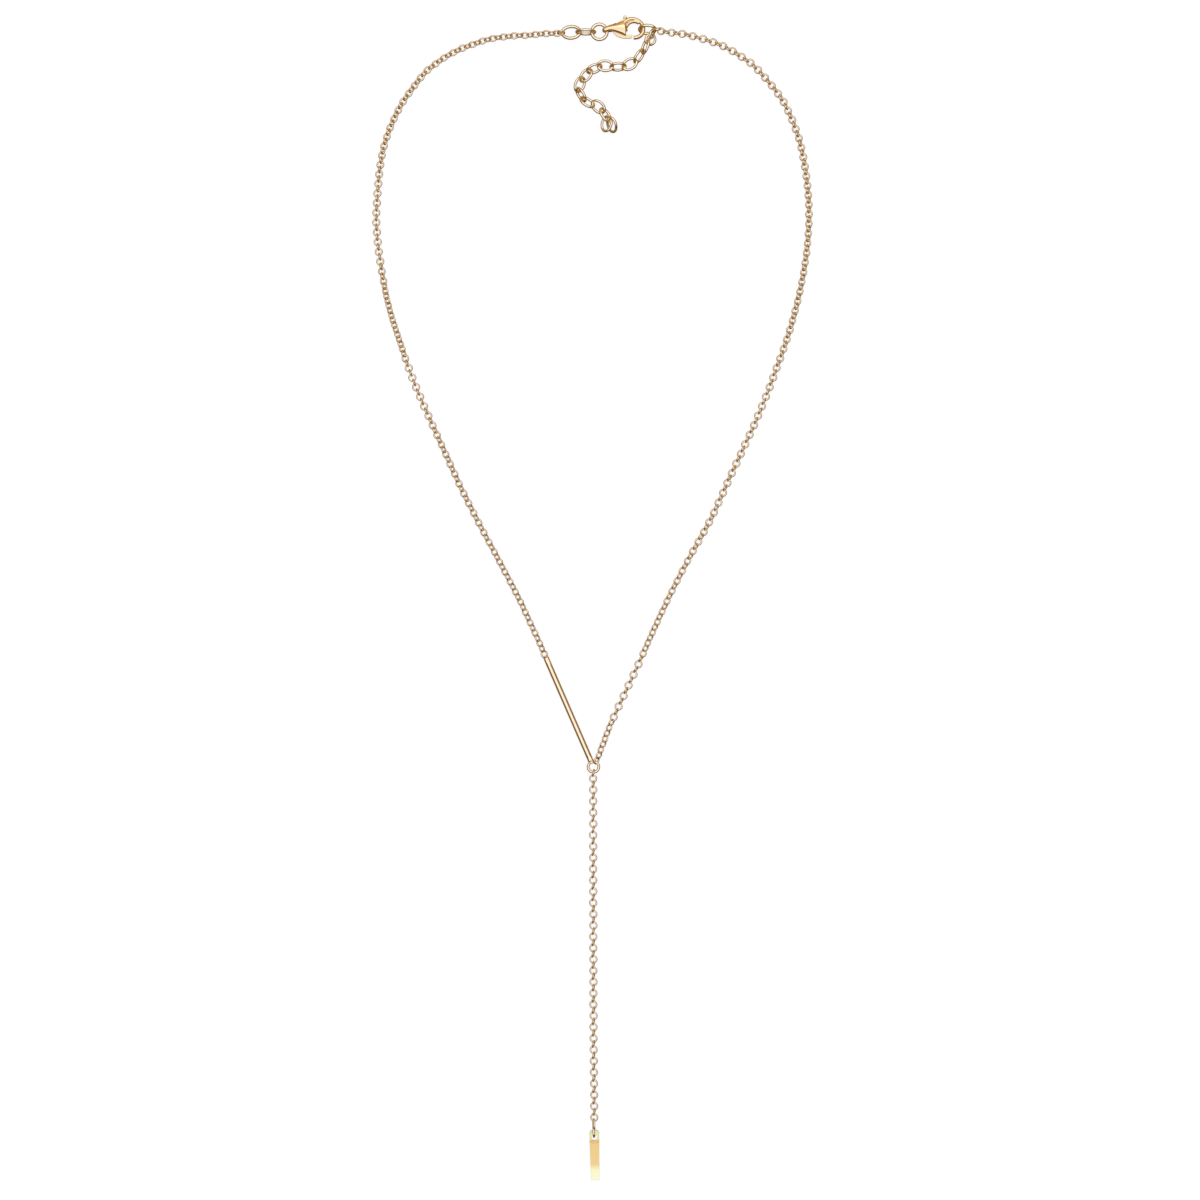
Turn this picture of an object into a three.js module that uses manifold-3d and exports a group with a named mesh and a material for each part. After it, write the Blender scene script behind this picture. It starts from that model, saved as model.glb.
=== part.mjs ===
// Y necklace in yellow gold, lying clasped on a flat surface.
// Millimetres, +Z up. The origin is on the surface, under the middle of the necklace.
import * as THREE from 'three';
import { mergeVertices } from 'three/addons/utils/BufferGeometryUtils.js';
import Module from 'manifold-3d';

const wasm = await Module();
wasm.setup();

// Rolo chain: round links, each turned a quarter turn from its neighbours
const roloDiameter = 2.03;
const roloWire = 0.36;
const roloBite = 0.06;
const roloSides = 10;
const roloWireSides = 5;
const chainSides = 8;
const chainStep = 4.9;

// Bar of the left branch, with a flattened eye at each end
const barTop = { x: -11.6, y: -14.3 };
const barHeight = 0.8;
const barDiameter = 1.3;
const barLength = 28.6;
const barAngle = -66.5;
const barSides = 12;
const eyeWidth = 1.6;
const eyeThickness = 0.4;
const eyeHole = 1.1;
const eyeRoll = 58;
const eyeTaper = 1.6;
const eyeSlack = 0.24;

// Rings and single links
const ringSides = 16;
const linkSides = 12;
const wireSides = 6;
const sizes = {
  rolo: { length: roloDiameter, width: roloDiameter, wire: roloWire, sides: linkSides },
  ring: { length: 3.2, width: 3.2, wire: 0.54, sides: ringSides },
  jump: { length: 4.4, width: 4.4, wire: 0.55, sides: ringSides },
  large: { length: 4.7, width: 3.8, wire: 0.58, sides: linkSides },
  long: { length: 5.0, width: 3.6, wire: 0.55, sides: linkSides },
  hooked: { length: 4.5, width: 3.3, wire: 0.5, sides: linkSides },
  small: { length: 2.7, width: 2.0, wire: 0.4, sides: linkSides },
  round: { length: 3.0, width: 3.0, wire: 0.45, sides: linkSides },
  extension: { length: 4.1, width: 3.05, wire: 0.45, sides: linkSides },
  dropUpper: { length: 2.95, width: 1.75, wire: 0.42, sides: linkSides },
  dropLower: { length: 2.5, width: 1.85, wire: 0.38, sides: linkSides },
};

// Links beside the clasp and of the extension: middle, measured from the middle of the clasp's hook,
// heading of the long axis, roll about it and pitch, in degrees
const links = [
  { name: 'left_start_link', size: 'rolo', x: -17.94, y: -1.15, z: 0.95, heading: 0, roll: 66 },
  { name: 'right_start_link', size: 'rolo', x: 5.35, y: -0.4, z: 1.75, heading: 0, roll: -72 },
  { name: 'left_link_1', size: 'large', x: -15.5, y: -1.1, z: 1.15, heading: 0, roll: -14, pitch: -8 },
  { name: 'left_link_2', size: 'long', x: -11.95, y: -1.05, z: 1.65, heading: 0, roll: 62 },
  { name: 'jump_ring', size: 'jump', x: -8.65, y: -1.0, z: 1.25, heading: 0, roll: 0, pitch: 3 },
  { name: 'hooked_link', size: 'hooked', x: 2.95, y: -0.2, z: 1.5, heading: 180, roll: -50, pitch: 8 },
  { name: 'extension_link_01', size: 'small', x: 4.08, y: -1.45, z: 0.9, heading: 250, roll: -60 },
  { name: 'extension_link_02', size: 'round', x: 3.7, y: -2.8, z: 0.95, heading: 250, roll: -25 },
  { name: 'extension_link_03', size: 'extension', x: 2.5, y: -4.5, z: 1.38, heading: 251, roll: 62 },
  { name: 'extension_link_04', size: 'extension', x: 0.95, y: -6.9, z: 1.4, heading: 236, roll: -60 },
  { name: 'extension_link_05', size: 'extension', x: -1.3, y: -8.8, z: 1.1, heading: 210, roll: 15 },
  { name: 'extension_link_06', size: 'extension', x: -4.15, y: -9.45, z: 1.35, heading: 183, roll: -57 },
  { name: 'extension_link_07', size: 'extension', x: -7.22, y: -9.2, z: 1.2, heading: 177, roll: 12 },
  { name: 'extension_link_08', size: 'extension', x: -9.9, y: -9.9, z: 1.3, heading: 202, roll: -52 },
  { name: 'extension_link_09', size: 'extension', x: -11.9, y: -11.5, z: 1.1, heading: 232, roll: 32 },
  { name: 'extension_link_10', size: 'extension', x: -13.4, y: -13.7, z: 1.1, heading: 248, roll: -36 },
  { name: 'extension_link_11', size: 'extension', x: -13.1, y: -16.2, z: 1.4, heading: 303, roll: 63 },
  { name: 'extension_link_12', size: 'extension', x: -11.6, y: -18.0, z: 1.2, heading: 327, roll: -45 },
  { name: 'extension_link_13', size: 'extension', x: -8.9, y: -19.1, z: 1.1, heading: 318, roll: 32 },
  { name: 'extension_link_14', size: 'extension', x: -7.2, y: -21.1, z: 1.2, heading: 303, roll: -48 },
  { name: 'extension_link_15', size: 'extension', x: -6.9, y: -23.2, z: 1.1, heading: 260, roll: 28 },
  { name: 'extension_link_16', size: 'extension', x: -5.65, y: -23.5, z: 1.37, heading: 100, roll: -40, pitch: -25 },
];

// Link between the left chain and the bar, measured from the bar's upper end
const barLink = { name: 'left_end_link', size: 'rolo', x: -0.18, y: 0.34, z: barHeight, heading: barAngle };

// Links at and below the Y, measured from the middle of its ring
const ringLinks = [
  { name: 'y_ring', size: 'ring', x: 0, y: 0, z: 0.97, heading: 180 + barAngle, roll: 0, pitch: 8.6 },
  { name: 'right_end_link', size: 'rolo', x: 0.73, y: 1.53, z: 0.9, heading: 66, roll: 56 },
  { name: 'drop_ring_a', size: 'dropUpper', x: 0.34, y: -86.5, z: 1.0, heading: -90, roll: 72 },
  { name: 'drop_ring_b', size: 'dropLower', x: 0.36, y: -88.34, z: 0.8, heading: -90, roll: 124 },
];

// Tag at the end of the drop, its top measured from the middle of the ring
const tagTop = { x: 0.38, y: -88.11, z: 0.5 };
const tagLength = 11.95;
const tagWidth = 2.45;
const tagFoot = 1.9;
const tagThickness = 0.6;
const tagHole = 1.45;
const tagHoleInset = 1.7;
const tagTilt = 2.3;
const tagTurn = 1.2;

// Lobster clasp, its long axis along X, measured from the middle of its hook
const claspPlace = { x: 10.2, y: 137.6 };
const hookRadius = 2.06;
const hookWidth = 1.0;
const hookThickness = 1.05;
const hookStart = 145;
const hookEnd = -100;
const claspThickness = 2.3;
const dome = { x: -4.2, y: -0.2, stretchX: 4.2, stretchY: 2.6 };
const tail = { x: -7.1, y: -0.55, radius: 0.85 };
const tailEye = 1.15;
const slot = { left: -4.65, right: -1.9, lowLeft: -5.65, lowTop: -0.05, width: 1.2 };
const pivot = { x: -3.44, y: -0.87 };
const pinDiameter = 0.7;
const pinGap = 0.15;
const hubWall = 0.35;
const leverThickness = 0.8;
const gateWidth = 0.8;
const gateReach = 3.05;
const gateTail = 1.95;
const stemWidth = 0.6;
const knob = { x: -2.42, y: 2.72, diameter: 0.95, thickness: 1.5 };

const gold = new THREE.MeshStandardMaterial({ color: 0xd9a84f, roughness: 0.2, metalness: 1 });
const paleGold = new THREE.MeshStandardMaterial({ color: 0xdcc07c, roughness: 0.25, metalness: 1 });
const satinGold = new THREE.MeshStandardMaterial({ color: 0xe6b970, roughness: 0.4, metalness: 1 });

// Routes of the chains, seen from above: down to the Y, and the drop from the middle of the ring.
// The ends are measured from the clasp's hook, the bar's upper end and the middle of the ring.
const chainRoutes = {
  left: [
    [-15.2, 135.9], [-24.9, 134.9], [-33.9, 131.6], [-41.6, 125.7], [-47.1, 117.8],
    [-50.6, 108.8], [-52.0, 99.2], [-52.4, 89.6], [-51.3, 80.0], [-46.6, 61.2], [-39.6, 43.2],
    [-31.6, 25.6], [-22.6, 8.4], [-14.0, -8.9],
  ],
  right: [
    [22.5, 136.0], [31.7, 133.1], [39.7, 127.7], [45.8, 120.2], [49.7, 111.3],
    [51.6, 101.9], [52.3, 92.2], [51.6, 82.6], [47.4, 63.7], [40.7, 45.5], [32.7, 27.9],
    [24.0, 10.6], [15.3, -6.7], [7.3, -24.3],
  ],
  drop: [[-0.05, -1.46], [-0.05, -32.16], [0.1, -63.66], [0.35, -84.84]],
};
const leftStart = { x: -19.2, y: -1.4 };
const leftEnd = { x: -0.75, y: 1.58 };
const rightStart = { x: 6.6, y: -0.88 };
const rightEnd = { x: 1.28, y: 2.74 };

const group = new THREE.Group();

function toSolid(geometry) {
  const plain = geometry.clone();
  for (const name of Object.keys(plain.attributes)) {
    if (name !== 'position') plain.deleteAttribute(name);
  }
  const merged = mergeVertices(plain, 1e-4);
  const mesh = new wasm.Mesh({
    numProp: 3,
    vertProperties: Float32Array.from(merged.attributes.position.array),
    triVerts: Uint32Array.from(merged.index.array),
  });
  return new wasm.Manifold(mesh);
}

function toGeometry(solid) {
  const mesh = solid.getMesh();
  const geometry = new THREE.BufferGeometry();
  geometry.setAttribute('position', new THREE.BufferAttribute(mesh.vertProperties, 3));
  geometry.setIndex(new THREE.BufferAttribute(mesh.triVerts, 1));
  geometry.computeVertexNormals();
  return geometry;
}

function addPiece(name, geometry, material, parent) {
  const mesh = new THREE.Mesh(geometry, material);
  mesh.name = name;
  parent.add(mesh);
  return mesh;
}

// Oval link in the XY plane, its long axis along X; a round ring when length equals width
function linkGeometry(length, width, wire, sides, sectionSides) {
  const radius = (width - wire) / 2;
  const stretch = (length - width) / 2;
  const profile = [];
  for (let i = 0; i <= sectionSides; i += 1) {
    const angle = Math.PI + (2 * Math.PI * (i % sectionSides)) / sectionSides;
    profile.push(new THREE.Vector2(radius + (wire / 2) * Math.cos(angle), (wire / 2) * Math.sin(angle)));
  }
  const start = stretch > 0 ? Math.PI / sides : 0;
  const geometry = new THREE.LatheGeometry(profile, sides, start);
  geometry.rotateX(Math.PI / 2);
  geometry.rotateZ(Math.PI / 2);
  const points = geometry.attributes.position;
  for (let i = 0; i < points.count; i += 1) {
    points.setX(i, points.getX(i) + Math.sign(points.getX(i)) * stretch);
  }
  return geometry;
}

// One link of its own, from a row of the tables of links
function addLink(place, material, parent) {
  const turn = new THREE.Group();
  turn.position.set(place.x, place.y, place.z);
  turn.rotation.order = 'ZYX';
  turn.rotation.z = THREE.MathUtils.degToRad(place.heading);
  turn.rotation.y = THREE.MathUtils.degToRad(place.pitch ?? 0);
  turn.rotation.x = THREE.MathUtils.degToRad(place.roll);
  const size = sizes[place.size];
  const geometry = linkGeometry(size.length, size.width, size.wire, size.sides, wireSides);
  addPiece(place.name, geometry, material, turn);
  parent.add(turn);
}

function offset(place, step) {
  return [place.x + step.x, place.y + step.y];
}

function routeCurve(points, height) {
  return new THREE.CatmullRomCurve3(points.map(([x, y]) => new THREE.Vector3(x, y, height)));
}

// Whole rolo chain as the tube that its links fill
function chainTube(points) {
  const corner = Math.PI / chainSides;
  const radius = roloDiameter / 2;
  const curve = routeCurve(points, radius * Math.cos(corner));
  const section = new THREE.Shape();
  for (let i = 0; i < chainSides; i += 1) {
    const angle = corner + (2 * Math.PI * i) / chainSides;
    const point = [radius * Math.cos(angle), radius * Math.sin(angle)];
    if (i === 0) section.moveTo(...point);
    else section.lineTo(...point);
  }
  const steps = Math.round(curve.getLength() / chainStep);
  return new THREE.ExtrudeGeometry(section, { steps, extrudePath: curve, bevelEnabled: false });
}

// Whole rolo chain with its real links, each biting a little into the next
function chainLinks(points) {
  const curve = routeCurve(points, roloDiameter / 2);
  const length = curve.getLength();
  const inner = roloDiameter - 2 * roloWire;
  const count = 2 * Math.round((length / (inner + roloBite) + 1) / 2);
  const solids = [];
  for (let i = 0; i < count; i += 1) {
    const share = i / (count - 1);
    const tangent = curve.getTangentAt(share);
    const place = new THREE.Matrix4().makeRotationZ(Math.atan2(tangent.y, tangent.x));
    if (i % 2 === 0) place.multiply(new THREE.Matrix4().makeRotationX(Math.PI / 2));
    place.setPosition(curve.getPointAt(share));
    const link = linkGeometry(roloDiameter, roloDiameter, roloWire, roloSides, roloWireSides);
    solids.push(toSolid(link.applyMatrix4(place)));
  }
  return toGeometry(solids.reduce((chain, link) => chain.add(link)));
}

// Bar along X with its middle at the origin
function barGeometry() {
  const half = barLength / 2;
  const shaftEnd = half - eyeWidth - eyeTaper;
  const radius = barDiameter / 2;
  const profile = [
    [0, -shaftEnd - eyeTaper], [eyeThickness / 2, -shaftEnd - eyeTaper], [radius, -shaftEnd],
    [radius, shaftEnd], [eyeThickness / 2, shaftEnd + eyeTaper], [0, shaftEnd + eyeTaper],
  ].map(([x, y]) => new THREE.Vector2(x, y));
  const shaft = new THREE.LatheGeometry(profile, barSides);
  shaft.rotateZ(-Math.PI / 2);
  let bar = toSolid(shaft);
  for (const side of [-1, 1]) {
    const centre = side * (half - eyeWidth / 2);
    const plate = new THREE.Shape();
    plate.absarc(centre, 0, eyeWidth / 2, -Math.PI / 2, Math.PI / 2, side < 0);
    plate.lineTo(centre - side * (eyeWidth / 2 + eyeTaper), radius * 0.9);
    plate.lineTo(centre - side * (eyeWidth / 2 + eyeTaper), -radius * 0.9);
    const options = { depth: eyeThickness, bevelEnabled: false, curveSegments: 8 };
    const eye = new THREE.ExtrudeGeometry(plate, options);
    eye.translate(0, 0, -eyeThickness / 2);
    const drill = new THREE.CylinderGeometry(eyeHole / 2, eyeHole / 2, barDiameter * 2, 14);
    drill.rotateX(Math.PI / 2);
    drill.translate(centre, 0, 0);
    bar = bar.add(toSolid(eye)).subtract(toSolid(drill));
  }
  return toGeometry(bar);
}

// Tag in the XY plane, hanging along -Y from the top of its eye, its back at z = 0
function tagGeometry() {
  const outline = new THREE.Shape();
  const corner = tagWidth * 0.35;
  outline.moveTo(-tagFoot / 2, -tagLength);
  outline.lineTo(tagFoot / 2, -tagLength);
  outline.lineTo(tagWidth / 2, -corner);
  outline.quadraticCurveTo(tagWidth / 2, 0, tagWidth / 2 - corner, 0);
  outline.lineTo(corner - tagWidth / 2, 0);
  outline.quadraticCurveTo(-tagWidth / 2, 0, -tagWidth / 2, -corner);
  const hole = new THREE.Path();
  hole.absarc(0, -tagHoleInset, tagHole / 2, 0, Math.PI * 2, true);
  outline.holes.push(hole);
  return new THREE.ExtrudeGeometry(outline, { depth: tagThickness, bevelEnabled: false, curveSegments: 8 });
}

function box(x0, y0, x1, y1, height) {
  const geometry = new THREE.BoxGeometry(x1 - x0, y1 - y0, height);
  geometry.translate((x0 + x1) / 2, (y0 + y1) / 2, 0);
  return toSolid(geometry);
}

// Upright cylinder, the solid of a pin, a hub or a bore
function disc(x, y, diameter, height, sides = 16) {
  const geometry = new THREE.CylinderGeometry(diameter / 2, diameter / 2, height, sides);
  geometry.rotateX(Math.PI / 2);
  geometry.translate(x, y, 0);
  return toSolid(geometry);
}

// Pillowed teardrop with its tail eye, slot and pin, and the hook that grows out of it
function claspBodyGeometry() {
  const outline = new THREE.Shape();
  outline.absarc(tail.x, tail.y, tail.radius, Math.PI * 0.6, Math.PI * 1.4, false);
  outline.splineThru([[-5.1, -0.85], [-3.8, -1.35], [-2.5, -1.8]].map(([x, y]) => new THREE.Vector2(x, y)));
  outline.lineTo(-1.0, -1.1);
  outline.lineTo(-0.8, 2.1);
  outline.lineTo(-1.6, 2.3);
  outline.splineThru([[-2.6, 2.1], [-4.2, 1.15], [-5.6, 0.6]].map(([x, y]) => new THREE.Vector2(x, y)));
  const plate = new THREE.ExtrudeGeometry(outline, { depth: claspThickness, bevelEnabled: false, curveSegments: 5 });
  plate.translate(0, 0, -claspThickness / 2);
  const pillow = new THREE.SphereGeometry(claspThickness / 2, 20, 12);
  pillow.rotateX(Math.PI / 2);
  pillow.scale(dome.stretchX, dome.stretchY, 1);
  pillow.translate(dome.x, dome.y, 0);
  const bore = new THREE.CylinderGeometry(tailEye / 2, tailEye / 2, tail.radius * 4, 12);
  bore.translate(tail.x + (tailEye - tail.radius) * 0.8, tail.y, 0);
  const low = slot.lowTop - hookRadius * 2;
  const high = hookRadius * 2;
  const hook = hookGeometry();
  return toGeometry(toSolid(plate)
    .intersect(toSolid(pillow))
    .subtract(disc(0, 0, 2 * hookRadius - hookWidth, claspThickness * 2, 24))
    .subtract(toSolid(bore))
    .subtract(box(slot.left, low, slot.right, high, slot.width))
    .subtract(box(slot.lowLeft, low, 0, slot.lowTop, slot.width))
    .add(disc(pivot.x, pivot.y, pinDiameter, claspThickness * 0.85, 12))
    .add(toSolid(hook)));
}

function hookGeometry() {
  const points = [];
  const steps = 18;
  for (let i = 0; i <= steps; i += 1) {
    const angle = THREE.MathUtils.degToRad(hookStart + ((hookEnd - hookStart) * i) / steps);
    points.push(new THREE.Vector3(hookRadius * Math.cos(angle), hookRadius * Math.sin(angle), 0));
  }
  const section = new THREE.Shape();
  section.absellipse(0, 0, hookThickness / 2, hookWidth / 2, 0, Math.PI * 2, false, 0);
  const extrudePath = new THREE.CatmullRomCurve3(points);
  return new THREE.ExtrudeGeometry(section, { steps, extrudePath, bevelEnabled: false, curveSegments: 5 });
}

// Sprung lever, its hub round the pin: gate below, knob above
function leverGeometry() {
  const hub = pinDiameter + 2 * (pinGap + hubWall);
  const half = gateWidth / 2;
  const gate = new THREE.Shape();
  gate.moveTo(-gateTail, -0.15);
  gate.lineTo(-gateTail + 0.3, -0.55);
  gate.quadraticCurveTo(-0.9, -1.5, 0.6, -1.7);
  gate.lineTo(gateReach * 0.82, -1.7);
  gate.lineTo(gateReach * 0.87, -1.5);
  gate.lineTo(gateReach * 0.92, -1.7 + gateWidth);
  gate.lineTo(0.7, -1.7 + gateWidth);
  gate.lineTo(0, -half);
  gate.lineTo(-1.2, -0.45);
  const plate = { depth: leverThickness, bevelEnabled: false, curveSegments: 4 };
  const blade = new THREE.ExtrudeGeometry(gate, plate);
  blade.translate(0, 0, -leverThickness / 2);
  const reach = { x: knob.x - pivot.x, y: knob.y - pivot.y };
  const length = Math.hypot(reach.x, reach.y);
  const stem = new THREE.BoxGeometry(length, stemWidth, leverThickness);
  stem.translate(length / 2, 0, 0);
  stem.rotateZ(Math.atan2(reach.y, reach.x));
  return toGeometry(toSolid(blade)
    .add(toSolid(stem))
    .add(disc(0, 0, hub, leverThickness, 16))
    .add(disc(reach.x, reach.y, knob.diameter, knob.thickness, 12))
    .subtract(disc(0, 0, pinDiameter + 2 * pinGap, leverThickness * 2, 16)));
}

// Bar, with the link of the left chain in its upper eye
function addBar() {
  const turn = new THREE.Group();
  turn.position.set(barTop.x + (barLength / 2) * along.x, barTop.y + (barLength / 2) * along.y, barHeight);
  turn.rotation.order = 'ZYX';
  turn.rotation.set(THREE.MathUtils.degToRad(eyeRoll), 0, THREE.MathUtils.degToRad(barAngle));
  addPiece('bar', barGeometry(), gold, turn);
  group.add(turn);
  const place = { ...barLink, x: barTop.x + barLink.x, y: barTop.y + barLink.y, roll: eyeRoll - 90 };
  addLink(place, gold, group);
}

// Clasp, and the links that it closes and that hang from them
function addClasp() {
  const clasp = new THREE.Group();
  clasp.position.set(claspPlace.x, claspPlace.y, 0);
  for (const link of links) addLink(link, link.size === 'rolo' ? gold : paleGold, clasp);
  const body = addPiece('clasp_body', claspBodyGeometry(), satinGold, clasp);
  body.position.z = claspThickness / 2;
  const lever = addPiece('clasp_lever', leverGeometry(), satinGold, clasp);
  lever.position.set(pivot.x, pivot.y, claspThickness / 2);
  group.add(clasp);
}

function addTag(parent) {
  const turn = new THREE.Group();
  turn.position.set(tagTop.x, tagTop.y, tagTop.z);
  turn.rotation.order = 'ZYX';
  turn.rotation.set(THREE.MathUtils.degToRad(tagTilt), 0, THREE.MathUtils.degToRad(tagTurn));
  addPiece('tag', tagGeometry(), satinGold, turn);
  parent.add(turn);
}

// Ring of the Y, which passes through the bar's lower eye, and all that hangs from it
function addDrop() {
  const drop = new THREE.Group();
  drop.position.set(ringCentre.x, ringCentre.y, 0);
  for (const link of ringLinks) addLink(link, link.size === 'ring' ? gold : paleGold, drop);
  addPiece('drop_chain', chainLinks(chainRoutes.drop), gold, drop);
  addTag(drop);
  group.add(drop);
}

const barTurn = THREE.MathUtils.degToRad(barAngle);
const along = { x: Math.cos(barTurn), y: Math.sin(barTurn) };
const ringReach = barLength - eyeWidth / 2 + eyeSlack + (sizes.ring.length - sizes.ring.wire) / 2;
const ringCentre = { x: barTop.x + ringReach * along.x, y: barTop.y + ringReach * along.y };
const leftRoute = [offset(claspPlace, leftStart), ...chainRoutes.left, offset(barTop, leftEnd)];
const rightRoute = [offset(claspPlace, rightStart), ...chainRoutes.right, offset(ringCentre, rightEnd)];

addPiece('chain_left', chainTube(leftRoute), gold, group);
addPiece('chain_right', chainTube(rightRoute), gold, group);
addBar();
addDrop();
addClasp();

const bounds = new THREE.Box3().setFromObject(group, true);
const middle = bounds.getCenter(new THREE.Vector3());
group.position.set(-middle.x, -middle.y, -bounds.min.z);

export default group;
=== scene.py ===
# Looks of the y necklace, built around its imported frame.
# Sizes and places are in millimetres as in the model's source, and each finished piece is in metres.
import math
import random

import bpy
from mathutils import Matrix, Vector


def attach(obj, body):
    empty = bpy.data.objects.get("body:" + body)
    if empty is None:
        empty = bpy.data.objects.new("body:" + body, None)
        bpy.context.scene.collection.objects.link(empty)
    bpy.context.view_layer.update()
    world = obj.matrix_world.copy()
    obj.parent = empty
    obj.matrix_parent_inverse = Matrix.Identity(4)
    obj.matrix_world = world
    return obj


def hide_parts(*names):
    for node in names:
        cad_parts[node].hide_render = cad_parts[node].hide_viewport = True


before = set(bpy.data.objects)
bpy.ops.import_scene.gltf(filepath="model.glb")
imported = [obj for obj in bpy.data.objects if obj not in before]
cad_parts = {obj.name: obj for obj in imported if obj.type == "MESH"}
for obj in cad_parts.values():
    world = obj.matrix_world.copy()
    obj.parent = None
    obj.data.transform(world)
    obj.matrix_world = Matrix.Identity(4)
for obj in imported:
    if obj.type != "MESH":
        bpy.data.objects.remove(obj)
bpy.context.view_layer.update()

dice = random.Random(7)

millimetre = 0.001
close = 0.01  # points nearer than this are in one place
shift = Vector((0.06423, 0.265389, 0.0))  # from the source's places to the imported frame's

claspPlace = (10.2, 137.6)
barPlace = {"top": (-11.6, -14.3), "angle": -66.5, "height": 0.8}
ringPlace = (0.11126, -41.23405)


def clearSelection():
    if bpy.context.object and bpy.context.object.mode != "OBJECT":
        bpy.ops.object.mode_set(mode="OBJECT")
    for thing in list(bpy.context.selected_objects):
        thing.select_set(False)


def choose(piece):
    clearSelection()
    piece.select_set(True)
    bpy.context.view_layer.objects.active = piece


# Edit mode, with only the points that pass the test selected
def pick(piece, test):
    choose(piece)
    bpy.ops.object.mode_set(mode="EDIT")
    bpy.ops.mesh.select_mode(type="VERT")
    bpy.ops.mesh.select_all(action="DESELECT")
    bpy.ops.object.mode_set(mode="OBJECT")
    for point in piece.data.vertices:
        point.select = test(point.co)
    bpy.ops.object.mode_set(mode="EDIT")


# The same for edges, by their two ends
def pickEdges(piece, test):
    choose(piece)
    bpy.ops.object.mode_set(mode="EDIT")
    bpy.ops.mesh.select_mode(type="EDGE")
    bpy.ops.mesh.select_all(action="DESELECT")
    bpy.ops.object.mode_set(mode="OBJECT")
    for edge in piece.data.edges:
        edge.select = test(*(piece.data.vertices[i].co for i in edge.vertices))
    bpy.ops.object.mode_set(mode="EDIT")


def finishEdit():
    bpy.ops.object.mode_set(mode="OBJECT")


def applyAll(piece):
    choose(piece)
    for modifier in list(piece.modifiers):
        bpy.ops.object.modifier_apply(modifier=modifier.name)


def turned(heading=0, pitch=0, roll=0):
    turn = Matrix.Rotation(math.radians(heading), 4, "Z")
    turn = turn @ Matrix.Rotation(math.radians(pitch), 4, "Y")
    return turn @ Matrix.Rotation(math.radians(roll), 4, "X")


# Bring a piece from its own millimetres to its place on the necklace, in metres
def settle(piece, place, turn):
    choose(piece)
    piece.matrix_world = Matrix.Scale(millimetre, 4) @ Matrix.Translation(Vector(place) + shift) @ turn
    bpy.ops.object.transform_apply(location=True, rotation=True, scale=True)


def cut(piece, tool):
    carve = piece.modifiers.new("carve", "BOOLEAN")
    carve.operation = "DIFFERENCE"
    carve.solver = "EXACT"
    carve.object = tool
    applyAll(piece)
    bpy.data.objects.remove(tool, do_unlink=True)


# Cut a round hole through a piece, along Z unless it is turned
def drill(piece, diameter, sides, depth, place, turn=(0, 0, 0)):
    clearSelection()
    bpy.ops.mesh.primitive_cylinder_add(
        vertices=sides, radius=diameter / 2, depth=depth, location=place, rotation=turn)
    bpy.ops.object.transform_apply(location=True, rotation=True, scale=True)
    cut(piece, bpy.context.object)


def weld(piece, other):
    choose(other)
    piece.select_set(True)
    bpy.context.view_layer.objects.active = piece
    bpy.ops.object.join()


def softenEdges(piece, width, steps, sharpAngle):
    soft = piece.modifiers.new("soft", "BEVEL")
    soft.width = width
    soft.segments = steps
    soft.angle_limit = math.radians(sharpAngle)
    even = piece.modifiers.new("even", "WEIGHTED_NORMAL")
    even.keep_sharp = True
    bpy.ops.object.shade_smooth()
    applyAll(piece)


# One skin round all that a piece is made of, with its edges softened
def cast(piece, grain, rounds):
    skin = piece.modifiers.new("skin", "REMESH")
    skin.mode = "VOXEL"
    skin.voxel_size = grain
    soften = piece.modifiers.new("soften", "SMOOTH")
    soften.factor = 0.5
    soften.iterations = rounds
    applyAll(piece)
    bpy.ops.object.shade_smooth()


goldValues = {
    "gold": {"color": (0.97, 0.79, 0.48, 1), "deep": (0.93, 0.73, 0.42, 1), "roughness": (0.05, 0.11)},
    "pale_gold": {"color": (0.96, 0.82, 0.54, 1), "deep": (0.92, 0.76, 0.47, 1), "roughness": (0.05, 0.11)},
    "satin_gold": {"color": (0.93, 0.69, 0.35, 1), "deep": (0.90, 0.64, 0.30, 1), "roughness": (0.08, 0.14)},
    "spotScale": 900.0,
    "spotDetail": 3.0,
    "spotRange": (0.40, 0.70),
    "grainScale": 6000.0,
    "grainDetail": 2.0,
    "grainStrength": 0.3,
    "grainDepth": 0.000006,
}


def fillRamp(ramp, rows):
    stops = ramp.color_ramp.elements
    while len(stops) < len(rows):
        stops.new(0.5)
    for stop, (position, color) in zip(stops, rows):
        stop.position = position
        stop.color = color


# Metal without a colour yet: material, its nodes, how to wire them, its shader and Object coordinates
def startMetal(name):
    material = bpy.data.materials.new(name)
    material.use_nodes = True
    nodes = material.node_tree.nodes
    shader = nodes["Principled BSDF"]
    shader.inputs["Metallic"].default_value = 1.0
    place = nodes.new("ShaderNodeTexCoord").outputs["Object"]
    return material, nodes, material.node_tree.links.new, shader, place


def addNoise(nodes, wire, place, scale, detail):
    noise = nodes.new("ShaderNodeTexNoise")
    noise.inputs["Scale"].default_value = scale
    noise.inputs["Detail"].default_value = detail
    wire(place, noise.inputs["Vector"])
    return noise.outputs["Fac"]


def addGrain(nodes, wire, shader, height, strength):
    bump = nodes.new("ShaderNodeBump")
    bump.inputs["Strength"].default_value = strength
    bump.inputs["Distance"].default_value = goldValues["grainDepth"]
    wire(height, bump.inputs["Height"])
    wire(bump.outputs["Normal"], shader.inputs["Normal"])


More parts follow.
